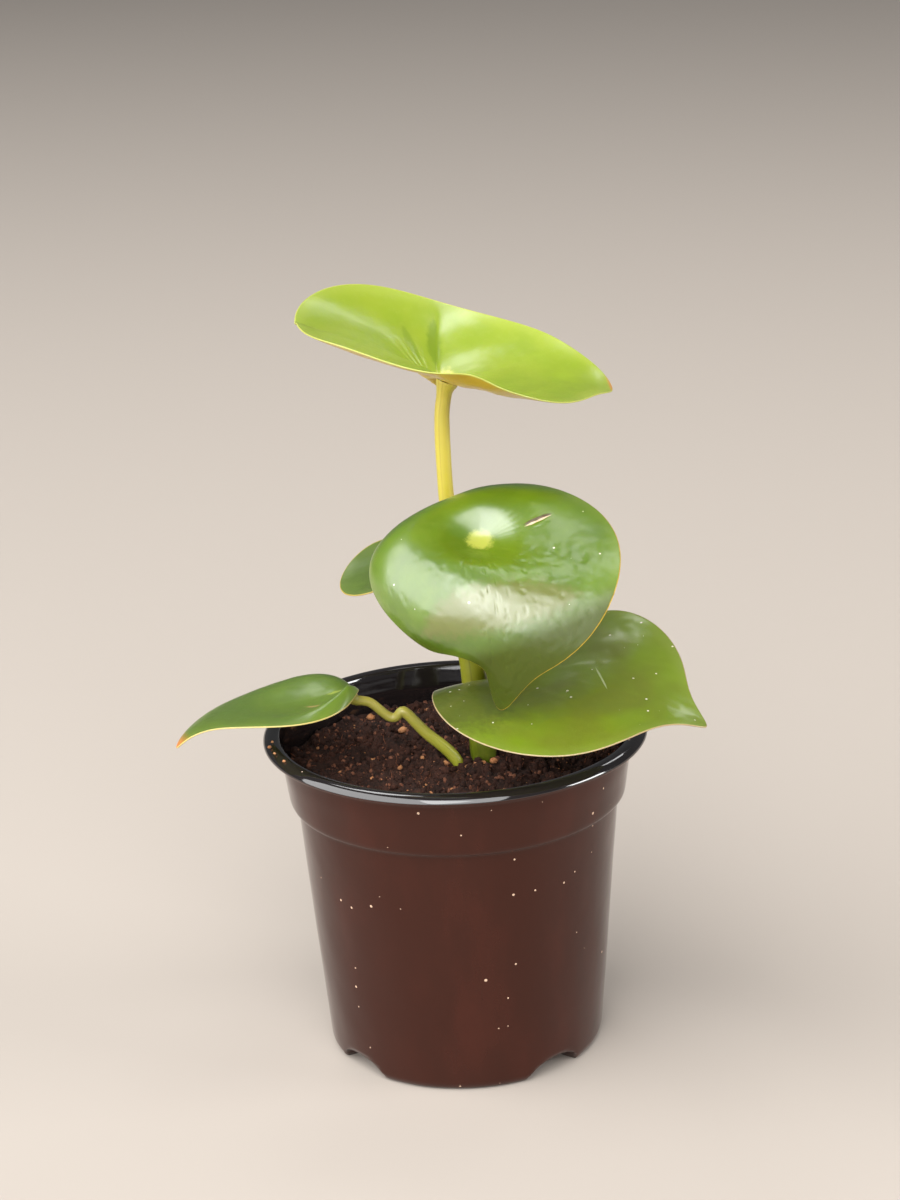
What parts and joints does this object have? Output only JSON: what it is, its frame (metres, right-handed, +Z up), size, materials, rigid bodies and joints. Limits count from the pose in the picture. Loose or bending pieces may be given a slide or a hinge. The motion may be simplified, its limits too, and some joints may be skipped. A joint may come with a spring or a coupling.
{
  "type": "potted peperomia",
  "caption": "Small raindrop peperomia with five drop shaped leaves on round stalks, growing from soil in a tapered round nursery pot with a turned out lip and four feet.",
  "frame": {"origin": "centre of the pot's flat underside, on the pot's axis", "axes": "+Z up along the pot's axis, -Y towards the front, where the largest leaf faces, +X to the right seen from the front"},
  "size_m": [0.1595, 0.1254, 0.2403],
  "materials": {
    "pot_plastic": "glossy dark brown thermoformed plastic, near black inside and on the lip",
    "peat": "loose fibrous dark brown peat, fully matt",
    "stem": "smooth fleshy olive green stem, satin",
    "stalk": "smooth fleshy yellow green leaf stalk, satin",
    "leaf": "thick waxy green leaf, softly glossy, with a thin pale margin"
  },
  "bodies": {
    "root": {"pot": "pot_plastic", "soil": "peat", "main_stem": "stem", "petiole_top": "stalk", "petiole_front": "stalk", "petiole_right": "stalk", "petiole_back": "stalk", "petiole_left": "stalk", "blade_top": "leaf", "blade_front": "leaf", "blade_right": "leaf", "blade_back": "leaf", "blade_left": "leaf"}
  },
  "joints": []
}
